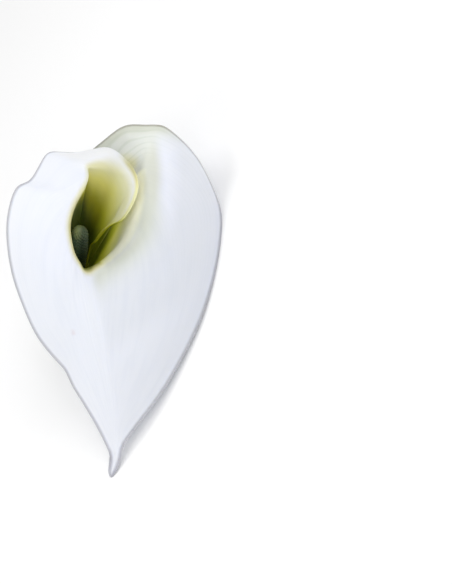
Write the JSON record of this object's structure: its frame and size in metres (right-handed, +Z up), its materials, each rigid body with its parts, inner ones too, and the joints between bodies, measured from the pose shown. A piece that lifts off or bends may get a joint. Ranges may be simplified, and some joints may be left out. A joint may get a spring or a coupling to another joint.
{
  "type": "calla lily flower",
  "caption": "White calla lily bloom on a short cut stem: one sheet rolled into a tube round a greenish spadix and flared into a wide limb with a drawn-out, curled tip.",
  "frame": {"origin": "on the surface the flower lies on, below the middle of its bounding box", "axes": "+Z up from the surface; +Y along the flower, from the spathe's tip towards its top, its longest extent; +X from the stem's side towards the right lobe"},
  "size_m": [0.1098, 0.1652, 0.0824],
  "materials": {
    "spathe": "soft satin white petal, greenish yellow in the throat and at the foot",
    "spadix": "matt, covered with small florets",
    "stem": "smooth satin green"
  },
  "bodies": {
    "root": {"spathe": "spathe", "spadix": "spadix", "stem": "stem"}
  },
  "joints": []
}
